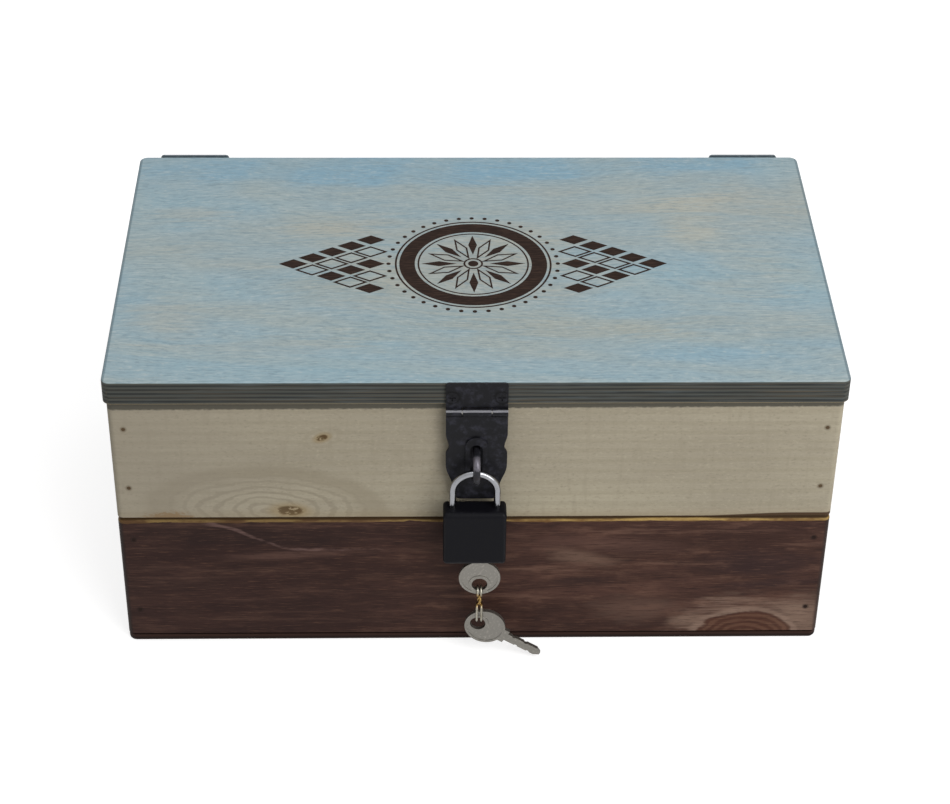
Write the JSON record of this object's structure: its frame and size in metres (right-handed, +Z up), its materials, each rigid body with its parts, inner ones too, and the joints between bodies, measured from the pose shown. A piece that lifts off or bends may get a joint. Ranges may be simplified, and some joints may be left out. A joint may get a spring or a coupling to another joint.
{
  "type": "lidded wooden keepsake box",
  "caption": "Two-tone wooden keepsake box with a blue-stained plywood lid, rear butt hinges, a front hasp and staple, and a small padlock with keys.",
  "frame": {"origin": "centre of the face that the box stands on", "axes": "+X to the right along the lid's long side, +Y to the back where the hinges are, +Z up"},
  "size_m": [0.3, 0.1915, 0.1398],
  "materials": {
    "bottom_ply": "dark stained plywood",
    "walnut_stained_board": "dark walnut stain, satin",
    "natural_board": "bare softwood, sanded",
    "blue_stained_ply": "blue-grey stain, matt",
    "nail_steel": "dull steel",
    "dark_hinge_steel": "dark satin",
    "pin_steel": "bare, worn bright",
    "screw_steel": "dull",
    "black_hasp_paint": "satin black",
    "shackle_chrome": "polished",
    "black_lock_paint": "satin black",
    "plug_brass": "satin",
    "key_nickel": "dull nickel",
    "tie_wire": "thin bent wire"
  },
  "bodies": {
    "carcass": {"bottom_panel": "bottom_ply", "lower_front_board": "walnut_stained_board", "lower_back_board": "walnut_stained_board", "lower_left_board": "walnut_stained_board", "lower_right_board": "walnut_stained_board", "upper_front_board": "natural_board", "upper_back_board": "natural_board", "upper_left_board": "natural_board", "upper_right_board": "natural_board", "board_nails": "nail_steel", "bottom_nails": "nail_steel", "left_hinge_box_leaf": "dark_hinge_steel", "right_hinge_box_leaf": "dark_hinge_steel", "left_hinge_pin": "pin_steel", "right_hinge_pin": "pin_steel", "hinge_box_screws": "screw_steel", "staple_plate": "black_hasp_paint", "staple_loop": "black_hasp_paint", "staple_screws": "black_hasp_paint"},
    "lid": {"lid_panel": "blue_stained_ply", "left_hinge_lid_leaf": "dark_hinge_steel", "right_hinge_lid_leaf": "dark_hinge_steel", "hinge_lid_screws": "screw_steel", "hasp_leaf": "black_hasp_paint", "hasp_pin": "pin_steel", "hasp_leaf_screws": "black_hasp_paint"},
    "strap": {"hasp_strap": "black_hasp_paint"},
    "bow": {"padlock_shackle": "shackle_chrome"},
    "lock": {"padlock_case": "black_lock_paint"},
    "plug": {"lock_plug": "plug_brass"},
    "key": {"working_key": "key_nickel"},
    "tie": {"key_wire": "tie_wire"},
    "spare": {"spare_key": "key_nickel"}
  },
  "joints": [
    {"name": "lid_hinge", "type": "hinge", "parent": "carcass", "child": "lid", "pos_m": [0, 0.0888, 0.1287], "axis": [-1, 0, 0], "range_deg": [0, 180]},
    {"name": "strap_swing", "type": "hinge", "parent": "lid", "child": "strap", "pos_m": [0, -0.0902, 0.1255], "axis": [-1, 0, 0], "range_deg": [0, 175]},
    {"name": "padlock_swing", "type": "hinge", "parent": "carcass", "child": "bow", "pos_m": [-0.0005, -0.0955, 0.0983], "axis": [-1, 0, 0], "range_deg": [0, 90]},
    {"name": "lock_drop", "type": "slide", "parent": "bow", "child": "lock", "axis": [0, 0, -1], "range_m": [0, 0.006]},
    {"name": "key_turn", "type": "hinge", "parent": "lock", "child": "plug", "pos_m": [0.0019, -0.0955, 0.0538], "axis": [0, 0, -1], "range_deg": [0, 90]},
    {"name": "key_pull", "type": "slide", "parent": "plug", "child": "key", "axis": [0, 0, -1], "range_m": [0, 0.018]},
    {"name": "tie_swing", "type": "hinge", "parent": "key", "child": "tie", "pos_m": [0.0019, -0.0955, 0.03535], "axis": [1, 0, 0], "range_deg": [-60, 12]},
    {"name": "spare_swing", "type": "hinge", "parent": "tie", "child": "spare", "pos_m": [0.0015, -0.0955, 0.0177], "axis": [0.1132, 0.9936, 0], "range_deg": [-28, 100]}
  ],
  "couplings": [
    {"joint": "key_turn", "follows": "lock_drop", "rad_per_m": 261.79}
  ]
}
